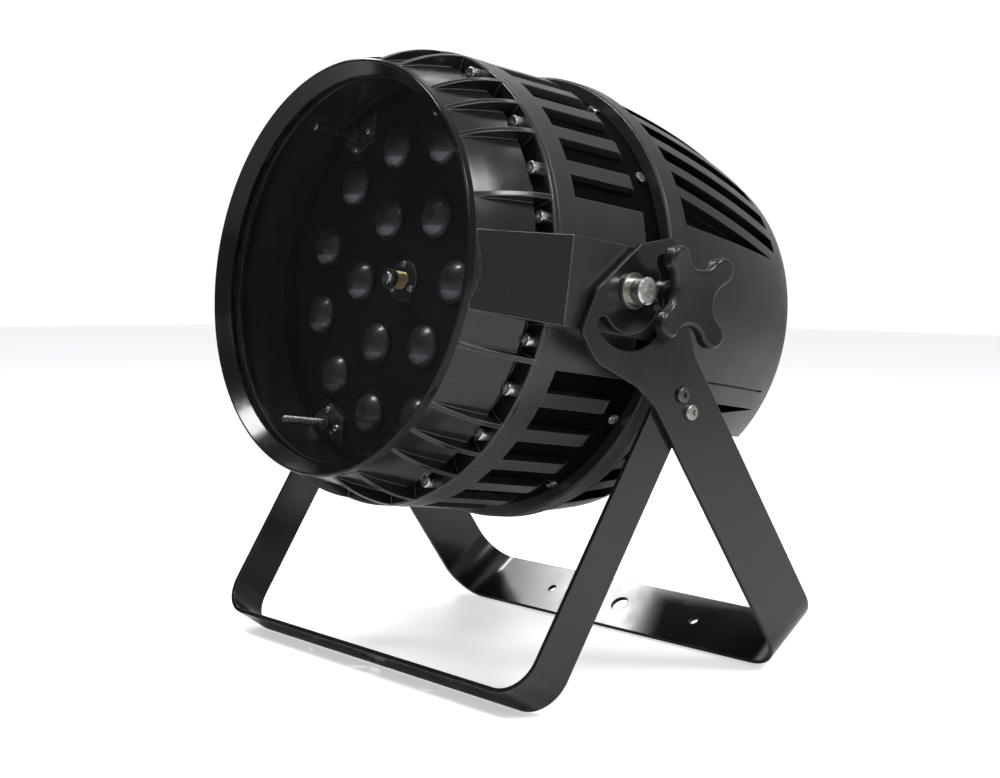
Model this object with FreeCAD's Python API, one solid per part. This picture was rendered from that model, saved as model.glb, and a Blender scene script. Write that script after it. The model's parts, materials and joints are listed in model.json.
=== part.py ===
import FreeCAD, Part
import math
import os

# Outdoor zoom par light standing on its two spread yokes. Millimetres, +Z up.
# The lamp is drawn first in its own lamp frame and then tilted and lifted into place:
#   s  distance forward of the tilt axis along the lamp axis (this is -Y)
#   t  height above the lamp axis (this is +Z), and x sideways
#   a  angle round the lamp axis in degrees, 0 at +X and 90 at the top

V = FreeCAD.Vector
X_AXIS = V(1, 0, 0)
ORIGIN = V(0, 0, 0)
os.makedirs("parts", exist_ok=True)

# ---- driving dimensions: pose and yokes -------------------------------------------
LAMP_TILT = 7.0            # lamp axis above the horizontal at rest
YOKE_HALF_WIDTH = 160.0    # outer face of the main yoke's arms
STRIP = 3.0                # thickness of both yoke strips
MAIN_LEAN = 36.4           # main yoke's arms lean back
MAIN_LENGTH = 290.0        # tilt axis to the crossbar's outer face
MAIN_WIDTH = 44.4
MAIN_BEND = 28.0
STAND_LENGTH = 209.5       # fold axis to the crossbar's outer face
STAND_WIDTH = 28.4
STAND_BEND = 24.5          # fits inside the main yoke's bend when folded
YOKE_GAP = 0.5             # between a main arm and a stand arm
FOLD_DROP = 77.0           # tilt axis to fold axis, along the main arm
LOCK_DROP = 13.5           # fold axis to locking screw
FOLD_TRAVEL = 67.0
HANG_HOLE_R = 6.5
SIDE_HOLE_R = 3.25
SIDE_HOLE_PITCH = 70.0

# ---- driving dimensions: lamp body --------------------------------------------------
BEZEL_FRONT = 101.5
BEZEL_R = 130.0
BEZEL_EDGE = 1.0
WINDOW_R = 120.8
GLASS_FRONT = 92.0
GLASS_THICK = 4.0
SEAM = 46.0                # front housing meets middle housing
FLANGE_R = 145.5
BAND_BACK = 31.0
FLOOR_R = 139.0            # cylinder that the middle bars stand on
BAR_R = 145.3
BAR_BACK = -27.0
COLLAR_FRONT = -46.0
COLLAR_BACK = -59.0
COLLAR_R = 148.5
MID_BORE = 133.0
RIM_BACK = -203.0
RIM_R = 115.3
RIM_EDGE = 2.0
UNDERCUT_FRONT = -104.0    # behind this the rear housing has a flat underside
UNDERCUT_TOP = -77.0
UNDERCUT_WALL = 4.0
PAD_X = 154.5              # face of the side pads that carry the yoke
PAD_HALF = 26.0
PAD_BACK = -44.0
STUD_BACK = -30.0          # locking stud, behind the tilt axis
SLOT_R = 30.0
SLOT_HALF = 5.0
SLOT_REACH = 87.0          # slot runs this far each side of the arm's direction

# ---- driving dimensions: optics and drive -------------------------------------------
PLATE_FRONT = 38.0
PLATE_THICK = 3.0
PLATE_R = 122.5
LENS_INNER = 47.3
LENS_OUTER = 90.5
LENS_R = 14.0
LENS_RIM_R = 16.0
ROD_X = 61.0               # four guide rods, mirrored in both directions
ROD_T = 97.5
ROD_R = 3.0
ROD_FRONT = 80.0
BUSH_BARREL_R = 5.0
BUSH_FLANGE = (62.0, 103.0, 19.0)      # x, t and corner radius of the hexagonal flange
BUSH_SCREWS = [(50.5, 100.0), (62.0, 88.5)]
SPREADER_FRONT = -34.0
SPREADER_BACK = -46.0
RUN = 0.05                 # radial clearance of a running fit
PANEL_BACK = -188.0
PANEL_THICK = 4.0
PANEL_R = 103.8
SCREW_R = 4.0              # zoom lead screw
SCREW_TIP = 55.0

# ---- driving dimensions: rear panel, (x, t) places --------------------------------------
PANEL_SCREW_R = 98.5
BUTTON_PLACES = [-27.0, -9.0, 9.0, 27.0]
BUTTON_T = -6.0
BUTTON_R = 5.0
SOCKET_PLACES = [(-62.0, -38.0), (-24.0, -52.0), (24.0, -52.0), (62.0, -38.0)]
SOCKET_R = 11.5
DISPLAY = (-32.0, 32.0, 14.0, 42.0)
VENT_PLACE = (70.0, 20.0)
EYE_T = 76.0
EYE_HALF = 9.0             # half the distance between the safety eye's legs
EYE_WIRE_R = 3.0

# ---- driving dimensions: knobs and yoke hardware -------------------------------------------
KNOB_INNER = 162.4
KNOB_THICK = 23.2
KNOB_HUB = 12.6            # hub length before the lobed grip starts
KNOB_R = 34.5
KNOB_TIP_R = 8.0           # rounding of each lobe's tip
KNOB_WAIST = 16.5          # smallest radius of the grip, between two lobes
KNOB_TURN = 41.5           # how far round the lobes stand at rest
STUD_R = 4.0
STUD_BASE = 136.5          # free end of the stud, in the pad's hole
STUD_LENGTH = 41.0
DISH_R = 170.0
DISH_DEPTH = 3.7
BUSH_R = 7.0
BOLT_R = 5.0
ARM_SCREW_R = 2.5
NUT_HEIGHT = 4.0

# ---- angles of repeated features in the first quarter ----------------------------------------
RIB_ANGLES = [19.0, 36.5, 46.0, 55.0, 71.5, 81.0]
FLANGE_SCREW_ANGLES = [14.8, 27.5, 41.5, 64.0]
FLANGE_SCREW_CIRCLE = 138.0
BAND_SCREW_ANGLES = [32.0, 58.5, 85.0]
BAND_SCREW_S = -40.0
BAR_ANGLES = [28.0 + 62.0 / 6 * k for k in range(7)]
FIN_HEIGHTS = [70.0, 86.5, 103.0, 119.5]
FIN_HALF = 3.5
FIN_SLOPE = 0.21
CROWN_BOTTOM = 133.0


# ---- frame helpers --------------------------------------------------------------------
def down_arm(lean, along, across):
    """Y and Z offset of a point on an arm that leans back by lean degrees."""
    c = math.cos(math.radians(lean))
    n = math.sin(math.radians(lean))
    return along * n + across * c, across * n - along * c


FOOT_Z = down_arm(MAIN_LEAN, MAIN_LENGTH, -MAIN_WIDTH / 2)[1]
FOLD_Y, FOLD_Z = down_arm(MAIN_LEAN, FOLD_DROP, 0)
# The stand yoke leans forward until its rear lower edge reaches the same floor.
REACH = math.hypot(STAND_LENGTH, STAND_WIDTH / 2)
STAND_LEAN = math.degrees(math.acos((FOLD_Z - FOOT_Z) / REACH) + math.atan2(STAND_WIDTH / 2, STAND_LENGTH))
PIVOT_Z = -FOOT_Z
# The lamp is the longest thing front to back: its bezel's and rim's corners centre the frame.
COS_TILT = math.cos(math.radians(LAMP_TILT))
SIN_TILT = math.sin(math.radians(LAMP_TILT))
FRONT_Y = -BEZEL_FRONT * COS_TILT - (BEZEL_R - BEZEL_EDGE) * SIN_TILT
BACK_Y = (RIM_EDGE - RIM_BACK) * COS_TILT + (RIM_R - RIM_EDGE) * SIN_TILT
PIVOT_Y = -(FRONT_Y + BACK_Y) / 2
PIVOT = V(0, PIVOT_Y, PIVOT_Z)


def save(shape, node):
    shape.exportStep("parts/" + node + ".step")


def save_lamp(shape, node):
    """Tilt a lamp-frame shape up and lift it onto the tilt axis."""
    placed = shape.copy()
    placed.rotate(ORIGIN, X_AXIS, -LAMP_TILT)
    placed.translate(PIVOT)
    save(placed, node)


def group(solids):
    return Part.makeCompound(solids)


def at(x, s, t):
    return V(x, -s, t)


def polar(radius, angle, s):
    a = math.radians(angle)
    return at(radius * math.cos(a), s, radius * math.sin(a))


def quarters(angles):
    """Mirror first-quarter angles into all four quarters."""
    found = []
    for a in angles:
        for b in (a, 180 - a, 180 + a, 360 - a):
            if all(abs((b - c + 180) % 360 - 180) > 0.01 for c in found):
                found.append(b)
    return found


def rod(x, t, s_back, s_front, radius):
    """Cylinder along the lamp axis."""
    return Part.makeCylinder(radius, s_front - s_back, at(x, s_back, t), V(0, -1, 0))


def disc(s_back, s_front, radius, bore=0):
    body = rod(0, 0, s_back, s_front, radius)
    if bore:
        body = body.cut(rod(0, 0, s_back - 1, s_front + 1, bore))
    return body


def turned(points, sweep=360, start=0):
    """Solid of revolution about the lamp axis from (s, radius) points."""
    flat = [V(r, -s, 0) for s, r in points]
    face = Part.Face(Part.makePolygon(flat + [flat[0]]))
    solid = face.revolve(ORIGIN, V(0, 1, 0), -sweep)
    solid.rotate(ORIGIN, V(0, 1, 0), -start)
    return solid


def block(x0, x1, s0, s1, t0, t1):
    return Part.makeBox(x1 - x0, s1 - s0, t1 - t0, V(x0, -s1, t0))


def prism_sideways(points, x0, x1):
    """Prism along x from (s, t) points."""
    flat = [V(x0, -s, t) for s, t in points]
    return Part.Face(Part.makePolygon(flat + [flat[0]])).extrude(V(x1 - x0, 0, 0))


def radial_plate(points, thickness, angle):
    """Plate standing on the lamp at an angle, outlined by (s, radius) points."""
    flat = [V(r, -s, -thickness / 2) for s, r in points]
    plate = Part.Face(Part.makePolygon(flat + [flat[0]])).extrude(V(0, 0, thickness))
    plate.rotate(ORIGIN, V(0, 1, 0), -angle)
    return plate


def socket_screw(base, direction, shank_r, length, head_r, head_h, socket_r):
    """Cap screw: head sits on base and rises along direction, shank goes the other way."""
    head = Part.makeCylinder(head_r, head_h, base, direction)
    edges = [e for e in head.Edges if e.Curve.TypeId == "Part::GeomCircle"]
    top = max(edges, key=lambda e: (e.CenterOfMass - base).dot(direction))
    head = head.makeChamfer(head_h * 0.1, [top])
    shank = Part.makeCylinder(shank_r, length + 0.5, base + direction * 0.5, direction * -1)
    hexagon = hex_prism(base + direction * (head_h * 0.45), direction, socket_r, head_h)
    return head.fuse(shank).removeSplitter().cut(hexagon)


def hex_prism(base, direction, radius, height):
    u = direction.cross(V(0, 0, 1))
    if u.Length < 0.1:
        u = direction.cross(V(1, 0, 0))
    u.normalize()
    w = direction.cross(u)
    ring = []
    for k in range(7):
        a = math.radians(60 * k)
        ring.append(base + u * (radius * math.cos(a)) + w * (radius * math.sin(a)))
    return Part.Face(Part.makePolygon(ring)).extrude(direction * height)


def nut(base, direction, bore_r, across_r, height):
    body = hex_prism(base, direction, across_r, height)
    return body.cut(Part.makeCylinder(bore_r, height + 2, base - direction, direction))


# ---- front of the lamp ---------------------------------------------------------------
def front_bezel():
    """Gloss ring with a sloping inner face and a spigot that holds the glass down."""
    return turned([
        (GLASS_FRONT, WINDOW_R), (GLASS_FRONT + 1.5, WINDOW_R), (BEZEL_FRONT - 0.8, BEZEL_R - 2.6),
        (BEZEL_FRONT, BEZEL_R - 2.0), (BEZEL_FRONT, BEZEL_R - BEZEL_EDGE),
        (BEZEL_FRONT - BEZEL_EDGE, BEZEL_R), (96, BEZEL_R), (96, 124.9), (GLASS_FRONT, 124.9)])


def front_housing():
    body = turned([
        (SEAM, 125), (84, 125), (84, WINDOW_R), (86, WINDOW_R), (86, 125), (96, 125), (96, 129.5),
        (92, 130.4), (80, 133.2), (68, 135.3), (57, 136.9), (55.5, 131.5), (50, 131.5), (50, FLANGE_R - 0.8),
        (49.2, FLANGE_R), (SEAM + 0.4, FLANGE_R), (SEAM, FLANGE_R - 0.4)])
    crest = rib_crest()
    for a in quarters(RIB_ANGLES):
        body = body.fuse(radial_plate(crest, 3.0, a))
    for side in (1, -1):
        body = body.fuse(front_pad(side))
    # The bore is cut again, because the pads and ribs start inside the wall.
    body = body.cut(disc(SEAM - 1, 84, 125)).cut(disc(83, 87, WINDOW_R)).cut(disc(86, 110, 125))
    for a in quarters(FLANGE_SCREW_ANGLES):
        p = polar(FLANGE_SCREW_CIRCLE, a, 0)
        body = body.cut(rod(p.x, p.z, SEAM - 1, 51, 2.6))
    return body.removeSplitter()


def rib_crest():
    """Rib outline: thin at the bezel, rising along an arc to the flange."""
    arc = Part.Arc(V(95.9, 129.6, 0), V(79, 138.4, 0), V(50.5, FLANGE_R - 0.3, 0))
    points = [(p.x, p.y) for p in arc.toShape().discretize(14)]
    return points + [(SEAM + 1, FLANGE_R - 0.3), (SEAM + 1, 127), (95.9, 127)]


def front_pad(side):
    """Wedge from the bezel out to the side pad, between two radial faces."""
    def ring(s, x_out, half):
        corners = [(118, -half), (x_out, -half), (x_out, half), (118, half), (118, -half)]
        return Part.makePolygon([at(side * x, s, t) for x, t in corners])
    return Part.makeLoft([ring(95.5, 128.4, 22.4), ring(SEAM, PAD_X, PAD_HALF)], True, True)


def flange_screws():
    made = []
    for a in quarters(FLANGE_SCREW_ANGLES):
        made.append(socket_screw(polar(FLANGE_SCREW_CIRCLE, a, 50), V(0, -1, 0), 2.5, 13, 4.25, 6, 2.3))
    return group(made)


# ---- middle housing ----------------------------------------------------------------------
def middle_housing():
    body = turned([
        (SEAM, 129), (SEAM, FLANGE_R - 0.4), (SEAM - 0.4, FLANGE_R), (BAND_BACK, FLANGE_R),
        (BAND_BACK, FLOOR_R), (COLLAR_FRONT, FLOOR_R), (COLLAR_FRONT, COLLAR_R - 1.2),
        (COLLAR_FRONT - 1.2, COLLAR_R), (COLLAR_BACK + 1.2, COLLAR_R), (COLLAR_BACK, COLLAR_R - 1.2),
        (COLLAR_BACK, MID_BORE), (36, MID_BORE), (36, 129)])
    root_r = FLOOR_R - 2
    nose = [
        (BAND_BACK + 1, root_r), (BAND_BACK + 1, BAR_R), (BAR_BACK + 6, BAR_R), (BAR_BACK + 2.5, BAR_R - 0.9),
        (BAR_BACK, BAR_R - 3), (BAR_BACK - 2.5, FLOOR_R), (BAR_BACK - 2.5, root_r)]
    for a in quarters(BAR_ANGLES):
        body = body.fuse(radial_plate(nose, 9.4, a))
    cheek = [(BAND_BACK + 1, root_r), (BAND_BACK + 1, BAR_R), (BAR_BACK, BAR_R), (BAR_BACK, root_r)]
    for centre in (0, 180):
        body = body.fuse(turned(cheek, 40.6, centre - 20.3))
        side = 1 if centre == 0 else -1
        x0, x1 = sorted((side * 128, side * PAD_X))
        body = body.fuse(block(x0, x1, PAD_BACK, SEAM, -PAD_HALF, PAD_HALF))
    body = body.cut(disc(36, SEAM + 1, 129)).cut(disc(COLLAR_BACK - 1, 36, MID_BORE))
    body = body.cut(disc(SEAM - 2, SEAM + 1, 134).cut(disc(SEAM - 3, SEAM + 2, 131)))
    for a in quarters(FLANGE_SCREW_ANGLES):
        p = polar(FLANGE_SCREW_CIRCLE, a, 0)
        body = body.cut(rod(p.x, p.z, 36.5, SEAM + 1, 2.55))
    for a in quarters(BAND_SCREW_ANGLES):
        body = body.cut(Part.makeCylinder(2.05, 20, polar(130, a, BAND_SCREW_S), polar(1, a, 0)))
    for p in rear_screw_places():
        body = body.cut(rod(p.x, p.z, COLLAR_BACK - 1, COLLAR_BACK + 10, 2.05))
    for side in (1, -1):
        out = V(side, 0, 0)
        body = body.cut(Part.makeCylinder(BOLT_R + RUN, 19, at(side * 136, 0, 0), out))
        body = body.cut(Part.makeCylinder(STUD_R + RUN, 19, at(side * 136, STUD_BACK, 0), out))
    return body.removeSplitter()


def seam_gasket():
    return disc(SEAM - 1.95, SEAM - 0.05, 133.9, 131.1)


def band_screws():
    made = []
    for a in quarters(BAND_SCREW_ANGLES):
        out = polar(1, a, 0)
        made.append(socket_screw(polar(FLOOR_R, a, BAND_SCREW_S), out, 2.0, 9, 3.6, 2.4, 1.5))
    return group(made)


# ---- rear housing ----------------------------------------------------------------------------
def dome_solid(inset):
    """Solid dome behind the collar, its skin set in by inset."""
    skin = Part.Arc(V(146 - inset, -COLLAR_BACK, 0), V(133.6 - inset, 140, 0), V(RIM_R - inset, -RIM_BACK, 0))
    rim = [
        V(RIM_R - inset, -RIM_BACK, 0), V(RIM_R - inset - RIM_EDGE, -RIM_BACK + RIM_EDGE, 0),
        V(0, -RIM_BACK + RIM_EDGE, 0), V(0, -COLLAR_BACK, 0), V(146 - inset, -COLLAR_BACK, 0)]
    wire = Part.Wire([skin.toShape()] + Part.makePolygon(rim).Edges)
    return Part.Face(wire).revolve(ORIGIN, V(0, 1, 0), 360)


def fin_pocket(low, high, s_back):
    """Sloping slot between two fins; low and high are its heights at the slots' front."""
    front = COLLAR_BACK - 7
    drop = (front - s_back) * FIN_SLOPE
    points = [(front, low), (front, high), (s_back, high - drop), (s_back, low - drop)]
    return prism_sideways(points, -170, 170)


def lower_rear(s_front, top):
    """Everything behind s_front and below top."""
    return block(-170, 170, -215, s_front, -170, top)


def rear_housing():
    body = dome_solid(0).cut(lower_rear(UNDERCUT_FRONT, UNDERCUT_TOP))
    core = dome_solid(12)
    # Floor and end wall that the inner cuts leave standing over the flat underside.
    inner_front = UNDERCUT_FRONT + UNDERCUT_WALL
    inner_floor = UNDERCUT_TOP + UNDERCUT_WALL
    walls = lower_rear(inner_front, inner_floor)
    wedge_back = -180.0
    wedge_drop = (COLLAR_BACK - 7 - wedge_back) * FIN_SLOPE
    first = FIN_HEIGHTS[0] - FIN_HALF
    pockets = [prism_sideways([(-66, 48.7), (-66, first), (wedge_back, first - wedge_drop)], -170, 170)]
    tops = [h + FIN_HALF for h in FIN_HEIGHTS]
    bottoms = [h - FIN_HALF for h in FIN_HEIGHTS[1:]] + [CROWN_BOTTOM]
    for low, high in zip(tops, bottoms):
        pockets.append(fin_pocket(low, high, -188.0))
    for pocket in pockets:
        body = body.cut(pocket.cut(core))
    # The lower half has short slots in front of the flat underside, one long wedge and a panel line.
    short = block(-170, 170, inner_front, COLLAR_BACK, -170, 0)
    for pocket in pockets[1:]:
        body = body.cut(pocket.mirror(ORIGIN, V(0, 0, 1)).common(short).cut(core))
    wedge = prism_sideways([(-72, -57.4), (-72, -70.7), (-190, -57.4)], -170, 170)
    panel_line = prism_sideways([(-66, -45.6), (-66, -44.4), (-190, -44.4), (-190, -45.6)], -170, 170)
    body = body.cut(wedge.cut(core)).cut(panel_line.cut(dome_solid(1.5)))
    hollow = [(COLLAR_BACK, 0), (COLLAR_BACK, 129.5), (-66, 129.5), (-140, 117), (-178, 105), (-178, 0)]
    body = body.cut(turned(hollow).cut(walls))
    # The smooth side panels have no slots in them, so they are hollowed further.
    side_hollow = [(-68, 128), (-68, 139), (-140, 127), (-172, 116), (-172, 104), (-140, 116)]
    for start in (-18, 162):
        body = body.cut(turned(side_hollow, 36, start))
    # Opening behind the panel, with a seat left all round it, and the recess the panel lies in.
    body = body.cut(disc(PANEL_BACK + PANEL_THICK, -176, 94).cut(lower_rear(inner_front, inner_floor + 6)))
    body = body.cut(disc(-210, PANEL_BACK + PANEL_THICK, 104).cut(walls))
    # Spigot with its seal groove, inside the middle housing.
    spigot = disc(COLLAR_BACK - 1, SPREADER_BACK - 0.5, 132.9, 126)
    spigot = spigot.cut(disc(-54, -51, 134, 130.8))
    body = body.fuse(spigot)
    for p in rear_screw_places():
        body = body.cut(rod(p.x, p.z, -67, -58, 2.1))
        body = body.cut(rod(p.x, p.z, -80, -66, 4.2))
    for p in panel_screw_places():
        body = body.cut(rod(p.x, p.z, -185, -176, 1.55))
    return body.removeSplitter()


def rear_screw_places():
    """Centres of the screws in the second and fourth slots."""
    found = []
    for low, high in ((FIN_HEIGHTS[0], FIN_HEIGHTS[1]), (FIN_HEIGHTS[2], FIN_HEIGHTS[3])):
        t = (low + high) / 2
        x = math.sqrt(139.5 ** 2 - t ** 2)
        for sx in (1, -1):
            for sz in (1, -1):
                found.append(V(sx * x, 0, sz * t))
    return found


def rear_screws():
    made = []
    for p in rear_screw_places():
        made.append(socket_screw(V(p.x, -COLLAR_BACK + 7, p.z), V(0, 1, 0), 2.0, 16, 3.5, 4, 1.7))
    return group(made)


def rear_gasket():
    return disc(-53.9, -51.1, 132.9, 130.9)


def panel_screw_places():
    ring = [polar(PANEL_SCREW_R, 22.5 + 45 * k, 0) for k in range(8)]
    return [p for p in ring if p.z > UNDERCUT_TOP]


def rear_panel():
    front = PANEL_BACK + PANEL_THICK
    body = disc(PANEL_BACK, front, PANEL_R).cut(lower_rear(0, UNDERCUT_TOP + UNDERCUT_WALL + 0.2))
    x0, x1, t0, t1 = DISPLAY
    body = body.cut(block(x0 + 3, x1 - 3, PANEL_BACK - 1, front + 1, t0 + 3, t1 - 3))
    body = body.cut(block(x0, x1, PANEL_BACK - 1, PANEL_BACK + 2, t0, t1))
    for x in BUTTON_PLACES:
        body = body.cut(rod(x, BUTTON_T, PANEL_BACK - 1, front + 1, BUTTON_R + RUN))
    for x, t in SOCKET_PLACES:
        body = body.cut(rod(x, t, PANEL_BACK - 1, front + 1, SOCKET_R))
    body = body.cut(rod(VENT_PLACE[0], VENT_PLACE[1], PANEL_BACK - 1, front + 1, 6.0))
    for x in (-EYE_HALF, EYE_HALF):
        body = body.cut(rod(x, EYE_T, PANEL_BACK - 1, front + 1, EYE_WIRE_R + RUN))
    for p in panel_screw_places():
        body = body.cut(rod(p.x, p.z, PANEL_BACK - 1, front + 1, 1.7))
    return body


def panel_screws():
    made = []
    for p in panel_screw_places():
        made.append(socket_screw(V(p.x, -PANEL_BACK, p.z), V(0, 1, 0), 1.5, 10, 2.8, 2.4, 1.2))
    return group(made)


def display_window():
    x0, x1, t0, t1 = DISPLAY
    return block(x0 + 0.1, x1 - 0.1, PANEL_BACK, PANEL_BACK + 2, t0 + 0.1, t1 - 0.1)


def display_board():
    """Circuit board with the screen and the four switches, on pillars behind the panel."""
    board = block(-45, 45, -172, -170.4, -20, 50)
    screen = block(-29, 29, -183, -172, 17.5, 38.5)
    body = board.fuse(screen)
    for x in BUTTON_PLACES:
        body = body.fuse(block(x - 3, x + 3, -177.5, -172, BUTTON_T - 3, BUTTON_T + 3))
    for x in (-41, 41):
        body = body.fuse(rod(x, -16, PANEL_BACK + PANEL_THICK, -172, 2.5))
        body = body.fuse(rod(x, 46, PANEL_BACK + PANEL_THICK, -172, 2.5))
    return body.removeSplitter()


def menu_button(x):
    """Push button: cap, stem through the panel and a collar that keeps it in."""
    s_cap = PANEL_BACK - 3.0
    body = rod(x, BUTTON_T, s_cap, PANEL_BACK + PANEL_THICK + 0.5, BUTTON_R)
    edges = [e for e in body.Edges if abs(e.CenterOfMass.y + s_cap) < 0.01]
    body = body.makeFillet(1.0, edges[:1])
    collar = rod(x, BUTTON_T, PANEL_BACK + PANEL_THICK + 0.05, PANEL_BACK + PANEL_THICK + 1.3, BUTTON_R + 1)
    stem = rod(x, BUTTON_T, PANEL_BACK + PANEL_THICK, -178.7, 1.6)
    return body.fuse(collar).fuse(stem).removeSplitter()


def sealed_sockets(places):
    """Panel sockets: flange and collar outside, body and nut inside."""
    made = []
    front = PANEL_BACK + PANEL_THICK
    for x, t in places:
        body = rod(x, t, PANEL_BACK - 2, PANEL_BACK, 14)
        body = body.fuse(rod(x, t, PANEL_BACK - 12, PANEL_BACK - 1, SOCKET_R))
        body = body.fuse(rod(x, t, PANEL_BACK - 1, front + 10, SOCKET_R - 0.1))
        body = body.cut(rod(x, t, PANEL_BACK - 13, PANEL_BACK + 1, 9))
        for k in range(3):
            pin = polar(4.5, 90 + 120 * k, 0)
            body = body.fuse(rod(x + pin.x, t + pin.z, PANEL_BACK - 7, PANEL_BACK + 2, 1.1))
        ring = nut(at(x, front, t), V(0, -1, 0), SOCKET_R - RUN, 15.5, 4)
        made.append(body.removeSplitter())
        made.append(ring)
    return group(made)


def vent_valve():
    x, t = VENT_PLACE
    front = PANEL_BACK + PANEL_THICK
    body = hex_prism(at(x, PANEL_BACK, t), V(0, 1, 0), 9, 3)
    body = body.fuse(rod(x, t, PANEL_BACK - 5, PANEL_BACK - 2.5, 7))
    body = body.fuse(rod(x, t, PANEL_BACK - 1, front + 7, 5.9))
    return body.removeSplitter()


def safety_eye():
    """Bent steel loop bolted through the panel for a safety cable."""
    front = PANEL_BACK + PANEL_THICK
    end = front + 6
    bend = PANEL_BACK - 4
    arch = Part.Arc(at(-EYE_HALF, bend, EYE_T), at(0, bend - EYE_HALF, EYE_T), at(EYE_HALF, bend, EYE_T))
    path = [
        Part.makeLine(at(-EYE_HALF, end, EYE_T), at(-EYE_HALF, bend, EYE_T)), arch.toShape(),
        Part.makeLine(at(EYE_HALF, bend, EYE_T), at(EYE_HALF, end, EYE_T))]
    section = Part.Wire([Part.makeCircle(EYE_WIRE_R, at(-EYE_HALF, end, EYE_T), V(0, 1, 0))])
    made = [Part.Wire(path).makePipeShell([section], True, True)]
    for x in (-EYE_HALF, EYE_HALF):
        made.append(nut(at(x, front, EYE_T), V(0, -1, 0), EYE_WIRE_R + 0.02, 5.7, 5))
    return group(made)


# ---- light engine ------------------------------------------------------------------------------
def lens_places():
    inner = [polar(LENS_INNER, 60 * k, 0) for k in range(6)]
    outer = [polar(LENS_OUTER, 15 + 30 * k, 0) for k in range(12)]
    return inner + outer


def four_corners(x, t):
    """Mirror an (x, t) place sideways and up and down."""
    return [V(sx * x, 0, st * t) for sx in (1, -1) for st in (1, -1)]


def rod_places():
    return four_corners(ROD_X, ROD_T)


def heat_spreader():
    body = disc(SPREADER_BACK, SPREADER_FRONT, MID_BORE - 0.1)
    body = body.cut(rod(0, 0, SPREADER_BACK - 1, SPREADER_FRONT + 1, 12))
    for x in (-15.5, 15.5):
        for t in (-15.5, 15.5):
            body = body.cut(rod(x, t, SPREADER_BACK - 1, SPREADER_BACK + 8, 1.55))
    for p in rod_places():
        body = body.cut(rod(p.x, p.z, SPREADER_BACK - 1, SPREADER_FRONT + 1, ROD_R + 0.02))
    for p in board_screw_places():
        body = body.cut(rod(p.x, p.z, SPREADER_FRONT - 8, SPREADER_FRONT + 1, 1.55))
    for a in quarters(BAND_SCREW_ANGLES):
        body = body.cut(Part.makeCylinder(2.02, 20, polar(122, a, BAND_SCREW_S), polar(1, a, 0)))
    return body


def led_board():
    body = disc(SPREADER_FRONT, SPREADER_FRONT + 2, 106, 12)
    for p in board_screw_places():
        body = body.cut(rod(p.x, p.z, SPREADER_FRONT - 1, SPREADER_FRONT + 3, 1.6))
    return body


def board_screw_places():
    return [polar(68, 90 + 120 * k, 0) for k in range(3)]


def board_screws():
    made = []
    for p in board_screw_places():
        made.append(socket_screw(V(p.x, -SPREADER_FRONT - 2, p.z), V(0, -1, 0), 1.5, 8, 2.8, 2.2, 1.2))
    return group(made)


def leds():
    made = []
    base = SPREADER_FRONT + 2
    for p in lens_places():
        chip = block(p.x - 3.5, p.x + 3.5, base, base + 1.5, p.z - 3.5, p.z + 3.5)
        made.append(chip.fuse(rod(p.x, p.z, base + 1, base + 2.4, 2.6)).removeSplitter())
    return group(made)


def collimators():
    """One moulded cup over each light source, feet on the board."""
    made = []
    base = SPREADER_FRONT + 2
    for p in lens_places():
        cup = Part.makeCone(5.5, 11, 14, at(p.x, base + 3, p.z), V(0, -1, 0))
        foot = rod(p.x, p.z, base, base + 3.5, 6.5).cut(rod(p.x, p.z, base - 1, base + 3, 5.2))
        made.append(cup.fuse(foot).removeSplitter())
    return group(made)


def lens_plate():
    body = disc(PLATE_FRONT - PLATE_THICK, PLATE_FRONT, PLATE_R, 7.0)
    for p in lens_places():
        body = body.cut(rod(p.x, p.z, 0, 60, LENS_R))
        rim = rod(p.x, p.z, PLATE_FRONT - 1, PLATE_FRONT + 1.6, LENS_RIM_R)
        body = body.fuse(rim.cut(rod(p.x, p.z, 0, 60, LENS_R)))
    for p in rod_places():
        body = body.cut(rod(p.x, p.z, 0, 60, BUSH_BARREL_R + RUN))
    for p in bush_screw_places():
        body = body.cut(rod(p.x, p.z, 0, 60, 1.3))
    for q in nut_screw_places():
        body = body.cut(rod(q.x, q.z, 0, 60, 1.3))
    return body.removeSplitter()


def lenses():
    """Thick plano-convex lenses standing through the plate."""
    made = []
    for p in lens_places():
        barrel = rod(p.x, p.z, PLATE_FRONT - PLATE_THICK - 2, PLATE_FRONT + 1.6, LENS_R - 0.02)
        ball_r = 17.5
        centre = PLATE_FRONT + 7.5 - ball_r
        cap = Part.makeSphere(ball_r, at(p.x, centre, p.z))
        cap = cap.common(rod(p.x, p.z, PLATE_FRONT + 1, PLATE_FRONT + 12, LENS_R - 0.02))
        made.append(barrel.fuse(cap).removeSplitter())
    return group(made)


def guide_rods():
    made = []
    for p in rod_places():
        shaft = rod(p.x, p.z, SPREADER_BACK + 1, ROD_FRONT, ROD_R)
        edges = [e for e in shaft.Edges if abs(e.CenterOfMass.y + ROD_FRONT) < 0.01]
        made.append(shaft.makeChamfer(0.8, edges[:1]))
    return group(made)


def bush_screw_places():
    """Two small screws beside each guide rod."""
    return [p for x, t in BUSH_SCREWS for p in four_corners(x, t)]


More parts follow.
